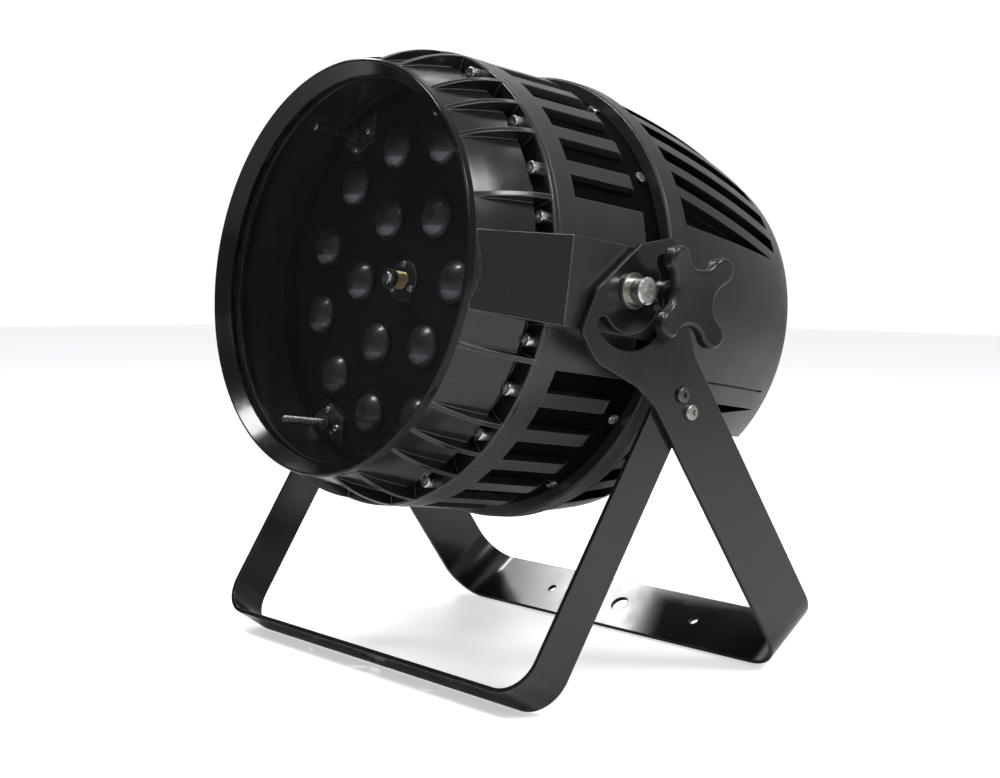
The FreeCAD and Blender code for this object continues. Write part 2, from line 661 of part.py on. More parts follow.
def guide_bushes():
    """Plain bearings of the lens plate; their hexagonal flanges are cut off at the plate's rim."""
    made = []
    x, t, corner_r = BUSH_FLANGE
    rim = disc(PLATE_FRONT - 20, PLATE_FRONT + 20, PLATE_R - 1.5)
    for p, centre in zip(rod_places(), four_corners(x, t)):
        corners = []
        for k in range(7):
            offset = polar(corner_r, 90 + 60 * k, PLATE_FRONT)
            corners.append(V(centre.x, 0, centre.z) + offset)
        flange = Part.Face(Part.makePolygon(corners)).extrude(V(0, -4, 0)).common(rim)
        body = flange.fuse(rod(p.x, p.z, PLATE_FRONT - 13, PLATE_FRONT + 9, BUSH_BARREL_R))
        body = body.cut(rod(p.x, p.z, 0, 60, ROD_R + RUN))
        for q in bush_screw_places():
            body = body.cut(rod(q.x, q.z, 0, 60, 1.3))
        made.append(body.removeSplitter())
    return group(made)


def nut_screw_places():
    return [polar(10.5, 90 + 120 * k, 0) for k in range(3)]


def carrier_screws():
    """Small screws that hold the guide bushes and the nut to the lens plate."""
    made = []
    for p in bush_screw_places():
        made.append(socket_screw(V(p.x, -PLATE_FRONT - 4, p.z), V(0, -1, 0), 1.25, 8, 2.4, 2.4, 1.0))
    for p in nut_screw_places():
        made.append(socket_screw(V(p.x, -PLATE_FRONT - 2.5, p.z), V(0, -1, 0), 1.25, 6, 2.2, 2.0, 0.9))
    return group(made)


def lead_screw():
    """Steel screw from the motor; the thread is drawn as its pitch cylinder with a plain tip."""
    shaft = rod(0, 0, -48, SCREW_TIP, SCREW_R)
    edges = [e for e in shaft.Edges if abs(e.CenterOfMass.y + SCREW_TIP) < 0.01]
    return shaft.makeChamfer(1.0, edges[:1])


def lead_nut():
    """Flanged nut fixed to the lens plate, and the second nut that takes up backlash."""
    flange = disc(PLATE_FRONT, PLATE_FRONT + 2.5, 13).cut(rod(0, 0, 0, 60, SCREW_R + RUN))
    barrel = disc(PLATE_FRONT - 12, PLATE_FRONT + 0.5, 6.9, SCREW_R + RUN)
    body = flange.fuse(barrel)
    for q in nut_screw_places():
        body = body.cut(rod(q.x, q.z, 0, 60, 1.3))
    second = disc(50, 53, 6.2, SCREW_R + RUN)
    return group([body.removeSplitter(), second])


def backlash_spring():
    """Compression spring between the two nuts."""
    wire_r = 0.6
    turns = 5
    low = PLATE_FRONT + 2.5 + wire_r
    high = 50 - wire_r
    helix = Part.makeHelix((high - low) / turns, high - low, 5.3)
    section = Part.Wire([Part.makeCircle(wire_r, V(5.3, 0, 0), V(0, 1, 0))])
    coil = Part.Wire(helix.Edges).makePipeShell([section], True, True)
    coil.rotate(ORIGIN, X_AXIS, 90)
    coil.translate(V(0, -low, 0))
    return coil


def zoom_motor():
    """Stepper motor behind the heat spreader, its boss inside the spreader's bore."""
    body = block(-21, 21, SPREADER_BACK - 34, SPREADER_BACK, -21, 21)
    edges = [e for e in body.Edges if abs(e.tangentAt(e.FirstParameter).y) > 0.99]
    body = body.makeChamfer(3, edges)
    body = body.fuse(rod(0, 0, SPREADER_BACK - 1, SPREADER_BACK + 2, 11))
    body = body.cut(rod(0, 0, SPREADER_BACK - 3, SPREADER_BACK + 3, SCREW_R + RUN))
    for x in (-15.5, 15.5):
        for t in (-15.5, 15.5):
            body = body.cut(rod(x, t, SPREADER_BACK - 40, SPREADER_BACK + 1, 1.6))
    return body.removeSplitter()


def motor_screws():
    made = []
    for x in (-15.5, 15.5):
        for t in (-15.5, 15.5):
            made.append(socket_screw(V(x, 80, t), V(0, 1, 0), 1.5, 40, 2.7, 3, 1.2))
    return group(made)


def glass():
    return disc(GLASS_FRONT - GLASS_THICK, GLASS_FRONT, 124.7)


def glass_gasket():
    return disc(86, GLASS_FRONT - GLASS_THICK, 124.8, WINDOW_R + 0.1)


def power_supply():
    """Sealed supply on a bracket, behind the motor."""
    case = block(-60, 60, -128, -92, -70, -22)
    foot = block(-66, 66, -130, -128, -66, -26)
    return case.fuse(foot).removeSplitter()


def driver_board():
    board = block(-64, 64, -118, -116.4, 0, 80)
    coils = [block(-53 + 28 * k, -35 + 28 * k, -116.4, -102, 12, 30) for k in range(4)]
    for coil in coils:
        board = board.fuse(coil)
    return board.removeSplitter()


def inner_bracket():
    """Folded plate that holds the supply and the driver board on four pillars."""
    body = block(-78, 78, -132, -130, -72, 84)
    for x in (-72, 72):
        for t in (-50, 62):
            body = body.fuse(rod(x, t, -132, SPREADER_BACK, 4))
    for x in (-58, 58):
        for t in (6, 74):
            body = body.fuse(rod(x, t, -131, -118, 3))
    return body.removeSplitter()


# ---- yoke hardware ------------------------------------------------------------------------------
def pivot_bolts():
    made = []
    for side in (1, -1):
        base = at(side * (YOKE_HALF_WIDTH + 2.7), 0, 0)
        made.append(socket_screw(base, V(side, 0, 0), BOLT_R, 26, 8, 10, 4.6))
    return group(made)


def pivot_washers():
    """Flat washer outside each arm and friction washer between arm and pad."""
    made = []
    for side in (1, -1):
        out = V(side, 0, 0)
        friction = YOKE_HALF_WIDTH - STRIP - PAD_X - 0.1
        for x, thick, radius in ((YOKE_HALF_WIDTH + 0.2, 2.5, 10.5), (PAD_X, friction, 14)):
            ring = Part.makeCylinder(radius, thick, at(side * x, 0, 0), out)
            made.append(ring.cut(Part.makeCylinder(BOLT_R + 0.1, thick + 2, at(side * (x - 1), 0, 0), out)))
    return group(made)


def arm_bush(side):
    """Nylon bush pressed into an arm, the bolt turns in it."""
    out = V(side, 0, 0)
    inner = side * (YOKE_HALF_WIDTH - STRIP)
    ring = Part.makeCylinder(BUSH_R, STRIP, V(inner, 0, 0), out)
    return ring.cut(Part.makeCylinder(BOLT_R + RUN, STRIP + 2, V(inner - side, 0, 0), out))


def lobed_outline(x):
    """Closed outline of four lobes: round tips joined by tangent hollows."""
    tip_at = KNOB_R - KNOB_TIP_R
    # A hollow's centre lies midway between two lobes, where both tangency and the waist are met.
    half = tip_at * math.sqrt(0.5)
    hollow_r = (tip_at ** 2 + KNOB_WAIST ** 2 - 2 * half * KNOB_WAIST - KNOB_TIP_R ** 2)
    hollow_r = hollow_r / (2 * (KNOB_TIP_R + half - KNOB_WAIST))
    hollow_at = KNOB_WAIST + hollow_r

    def place(radius, angle):
        a = math.radians(angle)
        return V(x, radius * math.cos(a), radius * math.sin(a))

    edges = []
    for k in range(4):
        tip = place(tip_at, 90 * k)
        before = place(hollow_at, 90 * k - 45)
        after = place(hollow_at, 90 * k + 45)
        next_tip = place(tip_at, 90 * k + 90)
        start = tip + (before - tip).normalize() * KNOB_TIP_R
        end = tip + (after - tip).normalize() * KNOB_TIP_R
        far = next_tip + (after - next_tip).normalize() * KNOB_TIP_R
        edges.append(Part.Arc(start, place(KNOB_R, 90 * k), end).toShape())
        edges.append(Part.Arc(end, place(KNOB_WAIST, 90 * k + 45), far).toShape())
    return Part.Wire(edges)


def star_knob(side):
    """Four-lobed knob: hub next to the washer, then the lobed grip, clear of the bolt head."""
    grip_back = KNOB_INNER + KNOB_HUB
    grip_front = KNOB_INNER + KNOB_THICK
    grip = Part.Face(lobed_outline(grip_back)).extrude(V(grip_front - grip_back, 0, 0))
    # The whole face is dished by a large ball that just reaches the lobes' tips.
    grip = grip.cut(Part.makeSphere(DISH_R, V(grip_front + DISH_R - DISH_DEPTH, 0, 0)))
    face_rim = [e for e in grip.Edges
                if e.CenterOfMass.x > grip_front - 5 and abs(e.tangentAt(e.FirstParameter).x) < 0.5]
    grip = grip.makeFillet(2.2, face_rim)
    back_rim = [e for e in grip.Edges if e.CenterOfMass.x < grip_back + 0.1]
    grip = grip.makeFillet(3.0, back_rim)
    hub = Part.makeCone(9.0, 11.5, KNOB_HUB + 3.5, V(KNOB_INNER, 0, 0), X_AXIS)
    collar = Part.makeCylinder(9.8, 3, V(KNOB_INNER, 0, 0), X_AXIS)
    body = grip.fuse(hub).fuse(collar)
    bore_depth = STUD_BASE + STUD_LENGTH + 0.1 - KNOB_INNER
    body = body.cut(Part.makeCylinder(STUD_R + 0.02, bore_depth + 1, V(KNOB_INNER - 1, 0, 0), X_AXIS))
    body = body.removeSplitter()
    body.rotate(ORIGIN, X_AXIS, KNOB_TURN)
    if side < 0:
        body = body.mirror(ORIGIN, X_AXIS)
    body.translate(V(0, -STUD_BACK, 0))
    return body


def knob_stud(side):
    """Threaded stud moulded into the knob, its free end in the lamp's pad."""
    return Part.makeCylinder(STUD_R, STUD_LENGTH, at(side * STUD_BASE, STUD_BACK, 0), V(side, 0, 0))


def knob_washer(side):
    out = V(side, 0, 0)
    ring = Part.makeCylinder(10.5, 2.0, at(side * (YOKE_HALF_WIDTH + 0.2), STUD_BACK, 0), out)
    return ring.cut(Part.makeCylinder(STUD_R + RUN, 4, at(side * (YOKE_HALF_WIDTH - 1), STUD_BACK, 0), out))


# ---- yokes, drawn with the arm hanging straight down from its axis ---------------------------------
def rounded_u(half, drop, bend, top):
    """Strip bent to a U: x across, z up, and 200 mm deep along y for a side profile to trim."""
    def outline(h, d, r):
        corner = r * (1 - math.sqrt(0.5))
        left = Part.Arc(V(-h, 0, -d + r), V(-h + corner, 0, -d + corner), V(-h + r, 0, -d)).toShape()
        right = Part.Arc(V(h - r, 0, -d), V(h - corner, 0, -d + corner), V(h, 0, -d + r)).toShape()
        return Part.Wire([
            Part.makeLine(V(-h, 0, top), V(-h, 0, -d + r)), left,
            Part.makeLine(V(-h + r, 0, -d), V(h - r, 0, -d)), right,
            Part.makeLine(V(h, 0, -d + r), V(h, 0, top)), Part.makeLine(V(h, 0, top), V(-h, 0, top))])
    outer = Part.Face(outline(half, drop, bend)).extrude(V(0, 200, 0))
    inner = Part.Face(outline(half - STRIP, drop - STRIP, bend - STRIP)).extrude(V(0, 200, 0))
    shell = outer.cut(inner)
    shell.translate(V(0, -100, 0))
    return shell


def side_profile(points, fillets):
    """Plate seen from the side: (across, along) points, rounded where fillets gives a radius."""
    flat = [V(-200, v, -u) for v, u in points]
    wire = Part.makePolygon(flat + [flat[0]])
    solid = Part.Face(wire).extrude(V(400, 0, 0))
    for (v, u), radius in fillets:
        corner = V(0, v, -u)
        edges = [e for e in solid.Edges
                 if (e.CenterOfMass - corner).Length < 0.01 and abs(e.tangentAt(e.FirstParameter).x) > 0.99]
        solid = solid.makeFillet(radius, edges)
    return solid


def both_ways(points):
    return points + [(-v, u) for v, u in reversed(points)]


def crossbar_holes(body, drop):
    for x, radius in ((0, HANG_HOLE_R), (SIDE_HOLE_PITCH, SIDE_HOLE_R), (-SIDE_HOLE_PITCH, SIDE_HOLE_R)):
        body = body.cut(Part.makeCylinder(radius, 20, V(x, 0, -drop - 8), V(0, 0, 1)))
    return body


def arc_slot(radius, half, centre_angle, reach, x0, x1):
    """Curved slot about the x axis; angles from +y towards +z."""
    ring = Part.makeCylinder(radius + half, x1 - x0, V(x0, 0, 0), X_AXIS, 360)
    ring = ring.cut(Part.makeCylinder(radius - half, x1 - x0, V(x0, 0, 0), X_AXIS, 360))
    fan = [V(x0, 0, 0)]
    for k in range(13):
        a = math.radians(centre_angle - reach + 2 * reach * k / 12)
        fan.append(V(x0, 90 * math.cos(a), 90 * math.sin(a)))
    sector = Part.Face(Part.makePolygon(fan + [fan[0]])).extrude(V(x1 - x0, 0, 0))
    slot = ring.common(sector)
    for end in (-reach, reach):
        a = math.radians(centre_angle + end)
        centre = V(x0, radius * math.cos(a), radius * math.sin(a))
        slot = slot.fuse(Part.makeCylinder(half, x1 - x0, centre, X_AXIS))
    return slot.removeSplitter()


def main_yoke():
    half = MAIN_WIDTH / 2
    outline = both_ways([(22, -17.5), (46, -5), (46, 17), (26, 52), (half, 66), (half, MAIN_LENGTH + 5)])
    rounding = []
    for side in (1, -1):
        rounding += [((side * 22, -17.5), 6), ((side * 46, -5), 5)]
        rounding += [((side * 46, 17), 14), ((side * 26, 52), 30)]
    body = rounded_u(YOKE_HALF_WIDTH, MAIN_LENGTH, MAIN_BEND, 40)
    body = body.common(side_profile(outline, rounding))
    body = crossbar_holes(body, MAIN_LENGTH)
    body = body.cut(Part.makeCylinder(BUSH_R, 400, V(-200, 0, 0), X_AXIS))
    body = body.cut(arc_slot(SLOT_R, SLOT_HALF, -90, SLOT_REACH, -200, 200))
    for drop in (FOLD_DROP, FOLD_DROP + LOCK_DROP):
        body = body.cut(Part.makeCylinder(ARM_SCREW_R + RUN, 400, V(-200, 0, -drop), X_AXIS))
    return body.removeSplitter()


def stand_yoke():
    """Narrower strip that swings inside the main yoke; round heads carry the locking slot."""
    half = STAND_WIDTH / 2
    inner = YOKE_HALF_WIDTH - STRIP - YOKE_GAP
    body = rounded_u(inner, STAND_LENGTH, STAND_BEND, 30)
    side = side_profile(both_ways([(half, 0), (half, STAND_LENGTH + 5)]), [])
    head = Part.makeCylinder(20, 400, V(-200, 0, 0), X_AXIS)
    body = body.common(side.fuse(head))
    body = crossbar_holes(body, STAND_LENGTH)
    body = body.cut(Part.makeCylinder(ARM_SCREW_R + RUN, 400, V(-200, 0, 0), X_AXIS))
    # At rest the locking screw is at one end of this slot; folding runs the other end up to it.
    spread = MAIN_LEAN + STAND_LEAN
    centre = -90 + spread - FOLD_TRAVEL / 2
    body = body.cut(arc_slot(LOCK_DROP, 2.8, centre, FOLD_TRAVEL / 2 + 0.6, -200, 200))
    return body.removeSplitter()


def place_main(shape):
    placed = shape.copy()
    placed.rotate(ORIGIN, X_AXIS, MAIN_LEAN)
    placed.translate(PIVOT)
    return placed


def place_stand(shape):
    placed = shape.copy()
    placed.rotate(ORIGIN, X_AXIS, -STAND_LEAN)
    placed.translate(PIVOT + V(0, FOLD_Y, FOLD_Z))
    return placed


def cross_screw(side, drop):
    """Pan-head cross-recess screw through an arm, with its nut inside the stand arm."""
    out = V(side, 0, 0)
    face = YOKE_HALF_WIDTH
    head = Part.makeCylinder(5.0, 2.6, V(side * face, 0, -drop), out)
    rims = [e for e in head.Edges if e.Curve.TypeId == "Part::GeomCircle"]
    top = max(rims, key=lambda e: abs(e.CenterOfMass.x))
    head = head.makeFillet(1.6, [top])
    length = 2 * STRIP + YOKE_GAP + NUT_HEIGHT
    shank = Part.makeCylinder(ARM_SCREW_R, length + 0.3, V(side * (face + 0.3), 0, -drop), out * -1)
    body = head.fuse(shank).removeSplitter()
    x0 = face + 1.3 if side > 0 else -face - 3.3
    for dy, dz in ((2.2, 0.55), (0.55, 2.2)):
        body = body.cut(Part.makeBox(2, 2 * dy, 2 * dz, V(x0, -dy, -drop - dz)))
    return body


def fold_screws():
    return group([place_main(cross_screw(side, FOLD_DROP)) for side in (1, -1)])


def lock_screws():
    return group([place_main(cross_screw(side, FOLD_DROP + LOCK_DROP)) for side in (1, -1)])


def yoke_nuts():
    """Thin lock nuts inside the stand arms."""
    made = []
    for side in (1, -1):
        x = side * (YOKE_HALF_WIDTH - 2 * STRIP - YOKE_GAP - 0.1)
        for drop in (FOLD_DROP, FOLD_DROP + LOCK_DROP):
            made.append(place_main(nut(V(x, 0, -drop), V(-side, 0, 0), ARM_SCREW_R + 0.02, 4.6, NUT_HEIGHT)))
    return group(made)


def yoke_spacers():
    """Washers that keep the two arms apart at the fold and lock screws."""
    made = []
    for side in (1, -1):
        inward = V(-side, 0, 0)
        x = side * (YOKE_HALF_WIDTH - STRIP)
        for drop in (FOLD_DROP, FOLD_DROP + LOCK_DROP):
            ring = Part.makeCylinder(5.5, YOKE_GAP - 0.1, V(x, 0, -drop), inward)
            bore = Part.makeCylinder(ARM_SCREW_R + 0.02, 4, V(x + side, 0, -drop), inward)
            made.append(place_main(ring.cut(bore)))
    return group(made)


# ---- write every node -----------------------------------------------------------------------------
LAMP_NODES = {
    "front_bezel": front_bezel, "front_glass": glass, "glass_gasket": glass_gasket,
    "front_housing": front_housing, "flange_screws": flange_screws, "seam_gasket": seam_gasket,
    "middle_housing": middle_housing, "band_screws": band_screws, "rear_gasket": rear_gasket,
    "rear_housing": rear_housing, "rear_screws": rear_screws, "rear_panel": rear_panel,
    "panel_screws": panel_screws, "display_window": display_window, "display_board": display_board,
    "vent_valve": vent_valve, "safety_eye": safety_eye, "heat_spreader": heat_spreader,
    "led_board": led_board, "board_screws": board_screws, "leds": leds, "collimators": collimators,
    "lens_plate": lens_plate, "lenses": lenses, "guide_rods": guide_rods,
    "guide_bushes": guide_bushes, "carrier_screws": carrier_screws,
    "lead_screw": lead_screw, "lead_nut": lead_nut, "backlash_spring": backlash_spring,
    "zoom_motor": zoom_motor, "motor_screws": motor_screws, "power_supply": power_supply,
    "driver_board": driver_board, "inner_bracket": inner_bracket, "pivot_bolts": pivot_bolts,
    "pivot_washers": pivot_washers,
}
for node, make in LAMP_NODES.items():
    save_lamp(make(), node)

save_lamp(sealed_sockets(SOCKET_PLACES[1:3]), "power_sockets")
save_lamp(sealed_sockets([SOCKET_PLACES[0], SOCKET_PLACES[3]]), "data_sockets")
for name, x in zip(("button_up", "button_down", "button_enter", "button_menu"), BUTTON_PLACES):
    save_lamp(menu_button(x), name)
for name, side in (("right", 1), ("left", -1)):
    save_lamp(star_knob(side), "knob_" + name)
    save_lamp(knob_stud(side), "knob_stud_" + name)
    save_lamp(knob_washer(side), "knob_washer_" + name)

save(place_main(main_yoke()), "main_yoke")
save(place_stand(stand_yoke()), "stand_yoke")
save(place_main(group([arm_bush(1), arm_bush(-1)])), "arm_bushes")
save(fold_screws(), "fold_screws")
save(lock_screws(), "lock_screws")
save(yoke_nuts(), "yoke_nuts")
save(yoke_spacers(), "yoke_spacers")
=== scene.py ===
import json
import math

import bmesh
import bpy
from mathutils import Matrix, Vector


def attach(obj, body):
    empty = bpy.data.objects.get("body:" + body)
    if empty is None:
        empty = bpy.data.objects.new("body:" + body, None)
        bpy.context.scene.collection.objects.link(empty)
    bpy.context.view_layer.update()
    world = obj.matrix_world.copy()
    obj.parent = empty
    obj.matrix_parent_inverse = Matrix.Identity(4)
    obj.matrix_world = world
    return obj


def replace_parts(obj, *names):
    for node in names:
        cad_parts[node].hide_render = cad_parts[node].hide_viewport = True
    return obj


# Looks of the zoom par light. The CAD frame gives every shape that fits or moves; this script rounds its
# edges, gives each node its material, and adds the small shapes that CAD leaves plain: the lens domes,
# screw threads, button symbols and so on. Metres, +Z up. The lamp's own frame is used for most pieces:
# x sideways, y backward along the lamp axis, z up, in millimetres from the tilt axis.

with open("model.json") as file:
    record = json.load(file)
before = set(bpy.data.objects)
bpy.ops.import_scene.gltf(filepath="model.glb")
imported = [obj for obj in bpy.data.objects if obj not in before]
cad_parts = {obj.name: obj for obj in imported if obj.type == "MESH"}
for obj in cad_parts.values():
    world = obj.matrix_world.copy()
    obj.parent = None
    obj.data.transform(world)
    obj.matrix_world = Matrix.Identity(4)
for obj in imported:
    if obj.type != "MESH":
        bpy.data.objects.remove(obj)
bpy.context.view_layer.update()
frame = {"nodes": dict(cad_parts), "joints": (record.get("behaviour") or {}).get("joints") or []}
nodes = frame["nodes"]
joints = {j["name"]: j for j in frame["joints"]}

MM = 0.001
SURROUND = 0.43            # brightness of the soft surround, against 1 for the white backdrop
PIVOT = Vector(joints["head_tilt"]["pos_m"])
FORWARD = Vector(joints["zoom"]["axis"]).normalized()
TILT = math.atan2(FORWARD.z, -FORWARD.y)
LAMP = Matrix.Translation(PIVOT) @ Matrix.Rotation(-TILT, 4, "X") @ Matrix.Scale(MM, 4)
TO_LAMP = LAMP.inverted()


def lamp_box(name):
    """Lowest and highest corner of a CAD node in the lamp's own frame, in millimetres."""
    places = [TO_LAMP @ v.co for v in nodes[name].data.vertices]
    low = Vector(map(min, zip(*places)))
    high = Vector(map(max, zip(*places)))
    return low, high


# ---- material building -----------------------------------------------------------------------------
def node(tree, kind, inputs=None, **settings):
    """Add a shader node; inputs are numbers, colours or output sockets to link."""
    made = tree.nodes.new("ShaderNode" + kind)
    for key, value in settings.items():
        setattr(made, key, value)
    for key, value in (inputs or {}).items():
        if isinstance(value, bpy.types.NodeSocket):
            tree.links.new(value, made.inputs[key])
        else:
            made.inputs[key].default_value = value
    return made


def grey(value):
    """Neutral colour, a touch cool."""
    return (value, value, value * 1.03, 1)


def new_look(name):
    """Material with a principled shader; returns the material, its tree, shader and object coordinates."""
    look = bpy.data.materials.new(name)
    look.use_nodes = True
    tree = look.node_tree
    tree.nodes.clear()
    shader = node(tree, "BsdfPrincipled")
    out = node(tree, "OutputMaterial")
    tree.links.new(shader.outputs[0], out.inputs["Surface"])
    place = node(tree, "TexCoord").outputs["Object"]
    return look, tree, shader, place


def noise(tree, place, scale, detail=3.0, rough=0.5):
    made = node(tree, "TexNoise", {"Vector": place, "Scale": scale, "Detail": detail, "Roughness": rough})
    return made.outputs["Fac"]


def remap(tree, value, low, high, to_low, to_high):
    made = node(tree, "MapRange", {
        "Value": value, "From Min": low, "From Max": high, "To Min": to_low, "To Max": to_high})
    return made.outputs["Result"]


def mix_colour(tree, share, first, second):
    return node(tree, "Mix", {0: share, 6: first, 7: second}, data_type="RGBA").outputs[2]


def mix_value(tree, share, first, second):
    return node(tree, "Mix", {0: share, 2: first, 3: second}).outputs[0]


def combine(tree, operation, first, second=0.0):
    return node(tree, "Math", {0: first, 1: second}, operation=operation).outputs[0]


def grain_bump(tree, height, strength, distance, under=None):
    inputs = {"Height": height, "Strength": strength, "Distance": distance}
    if under is not None:
        inputs["Normal"] = under
    return node(tree, "Bump", inputs).outputs["Normal"]


def rounded_normal(tree, radius):
    """Surface normal as if edges were rounded by a radius in millimetres."""
    return node(tree, "Bevel", {"Radius": radius * MM}, samples=6).outputs["Normal"]


def dot_product(tree, first, second):
    return node(tree, "VectorMath", {0: first, 1: second}, operation="DOT_PRODUCT").outputs["Value"]


def edge_mask(tree, rounded):
    """1 near convex or concave edges, from how far a rounded normal leans from the true one."""
    true_normal = node(tree, "NewGeometry").outputs["True Normal"]
    dot = dot_product(tree, rounded, true_normal)
    return remap(tree, dot, 0.995, 0.85, 0.0, 1.0)


def specks(tree, place, scale, size):
    """Few tiny dots, as settled dust."""
    cells = node(tree, "TexVoronoi", {"Vector": place, "Scale": scale})
    near = remap(tree, cells.outputs["Distance"], size, size * 0.6, 0.0, 1.0)
    pick = node(tree, "SeparateColor", {"Color": cells.outputs["Color"]}).outputs[0]
    chosen = combine(tree, "GREATER_THAN", pick, 0.86)
    return combine(tree, "MULTIPLY", near, chosen)


def radius_mask(tree, place, inner, outer):
    """0 inside the inner radius round the lamp axis, 1 outside the outer one; millimetres."""
    arm = node(tree, "VectorMath", {0: place, 1: PIVOT}, operation="SUBTRACT").outputs["Vector"]
    across = node(tree, "VectorMath", {0: arm, 1: FORWARD}, operation="CROSS_PRODUCT").outputs["Vector"]
    radius = node(tree, "VectorMath", {0: across}, operation="LENGTH").outputs["Value"]
    return remap(tree, radius, inner * MM, outer * MM, 0.0, 1.0)


def paint(name, value, rough, grain=900, grain_height=0.00002, edge=0.0, edge_rough=0.2, dust=0.12,
          shine=0.5, painted_shade_inside=None, rounding=0.9):
    """Sprayed or powder-coated black metal: soft smudges, fine grain, brighter edges that are partly paint
    rubbed thin and partly painted highlight, dust.

    painted_shade_inside is a pair of radii in millimetres: inside them the colour is near black as painted
    shade on the recessed floor, and the paint is rough and dull."""
    look, tree, shader, place = new_look(name)
    cloud = noise(tree, place, 14.0, 4.0)
    colour = mix_colour(tree, cloud, grey(value * 0.82), grey(value * 1.22))
    smudge = noise(tree, place, 38.0, 5.0, 0.62)
    roughness = remap(tree, smudge, 0.3, 0.7, rough - 0.04, rough + 0.06)
    if dust:
        dots = specks(tree, place, 260.0, 0.16)
        dots = combine(tree, "MULTIPLY", dots, dust)
        colour = mix_colour(tree, dots, colour, grey(0.25))
    rounded = rounded_normal(tree, rounding)
    if edge:
        # Lighter colour near edges: painted highlight standing in for the light caught on rounded crests,
        # together with paint rubbed thin there.
        rim = edge_mask(tree, rounded)
        edge_wear_and_highlight = combine(tree, "MULTIPLY", rim, remap(tree, smudge, 0.35, 0.65, 0.35, 1.0))
        colour = mix_colour(tree, edge_wear_and_highlight, colour, grey(edge))
        roughness = mix_value(tree, edge_wear_and_highlight, roughness, edge_rough)
    shader.inputs["Specular IOR Level"].default_value = shine
    if painted_shade_inside:
        # Painted shade: the recessed floor between the bars, inside the radii, is coloured near black; it is
        # also made rough and dull.
        outer = radius_mask(tree, place, painted_shade_inside[0], painted_shade_inside[1])
        colour = mix_colour(tree, outer, grey(0.0012), colour)
        roughness = mix_value(tree, outer, 0.85, roughness)
        tree.links.new(remap(tree, outer, 0.0, 1.0, 0.06, shine), shader.inputs["Specular IOR Level"])
    tree.links.new(colour, shader.inputs["Base Color"])
    tree.links.new(roughness, shader.inputs["Roughness"])
    fine = noise(tree, place, grain, 2.0)
    tree.links.new(grain_bump(tree, fine, 0.35, grain_height, rounded), shader.inputs["Normal"])
    return look


def metal(name, colour, rough):
    """Bare or plated metal with fine turned marks and a little tarnish."""
    look, tree, shader, place = new_look(name)
    stretch = node(tree, "Mapping", {"Vector": place, "Scale": (420.0, 2600.0, 420.0)}).outputs[0]
    marks = noise(tree, stretch, 1.0, 3.0)
    cloud = noise(tree, place, 160.0, 3.0)
    dark = tuple(c * 0.75 for c in colour) + (1,)
    tinted = mix_colour(tree, cloud, dark, tuple(colour) + (1,))
    tree.links.new(tinted, shader.inputs["Base Color"])
    shader.inputs["Metallic"].default_value = 1.0
    tree.links.new(remap(tree, marks, 0.3, 0.7, rough - 0.06, rough + 0.1), shader.inputs["Roughness"])
    tree.links.new(grain_bump(tree, marks, 0.125, 0.00002), shader.inputs["Normal"])
    return look


def moulding(name, colour, rough, grain=1500, height=0.00003, coat=0.0, rounding=0.0):
    """Injection-moulded plastic or rubber with a fine spark-eroded grain."""
    look, tree, shader, place = new_look(name)
    cloud = noise(tree, place, 30.0, 3.0)
    low = tuple(c * 0.8 for c in colour) + (1,)
    high = tuple(c * 1.2 for c in colour) + (1,)
    tree.links.new(mix_colour(tree, cloud, low, high), shader.inputs["Base Color"])
    smudge = noise(tree, place, 75.0, 4.0)
    tree.links.new(remap(tree, smudge, 0.3, 0.7, rough - 0.05, rough + 0.07), shader.inputs["Roughness"])
    cells = node(tree, "TexVoronoi", {"Vector": place, "Scale": grain}).outputs["Distance"]
    rounded = rounded_normal(tree, rounding) if rounding else None
    tree.links.new(grain_bump(tree, cells, 0.3, height, rounded), shader.inputs["Normal"])
    shader.inputs["Coat Weight"].default_value = coat
    return look


def thin_glass(name, tint, haze):
    """Flat pane that shows what is behind it: fresnel reflection over a straight-through layer."""
    look, tree, shader, place = new_look(name)
    out = [n for n in tree.nodes if n.type == "OUTPUT_MATERIAL"][0]
    tree.nodes.remove(shader)
    through = node(tree, "BsdfTransparent", {"Color": tint})
    smear = noise(tree, place, 22.0, 4.0)
    shine = node(tree, "BsdfGlossy", {"Roughness": remap(tree, smear, 0.3, 0.7, 0.01, 0.05)})
    film = node(tree, "BsdfDiffuse", {"Color": grey(0.5)})
    fresnel = node(tree, "Fresnel", {"IOR": 1.5}).outputs[0]
    share = combine(tree, "MULTIPLY", fresnel, 0.12)
    dust = combine(tree, "MULTIPLY", specks(tree, place, 180.0, 0.12), 0.12)
    veil = combine(tree, "MAXIMUM", combine(tree, "MULTIPLY", smear, haze), dust)
    dusty = node(tree, "MixShader", {0: veil, 1: through.outputs[0], 2: film.outputs[0]})
    both = node(tree, "MixShader", {0: share, 1: dusty.outputs[0], 2: shine.outputs[0]})
    tree.links.new(both.outputs[0], out.inputs["Surface"])
    return look


OPTIC_R = 12.2             # the clear middle of a lens; the black holder shows outside it
LIT_CRESCENT_DROP = 6.0        # the painted crescent of refracted light starts this far below a lens's middle
LIT_CRESCENT_R = 11.8


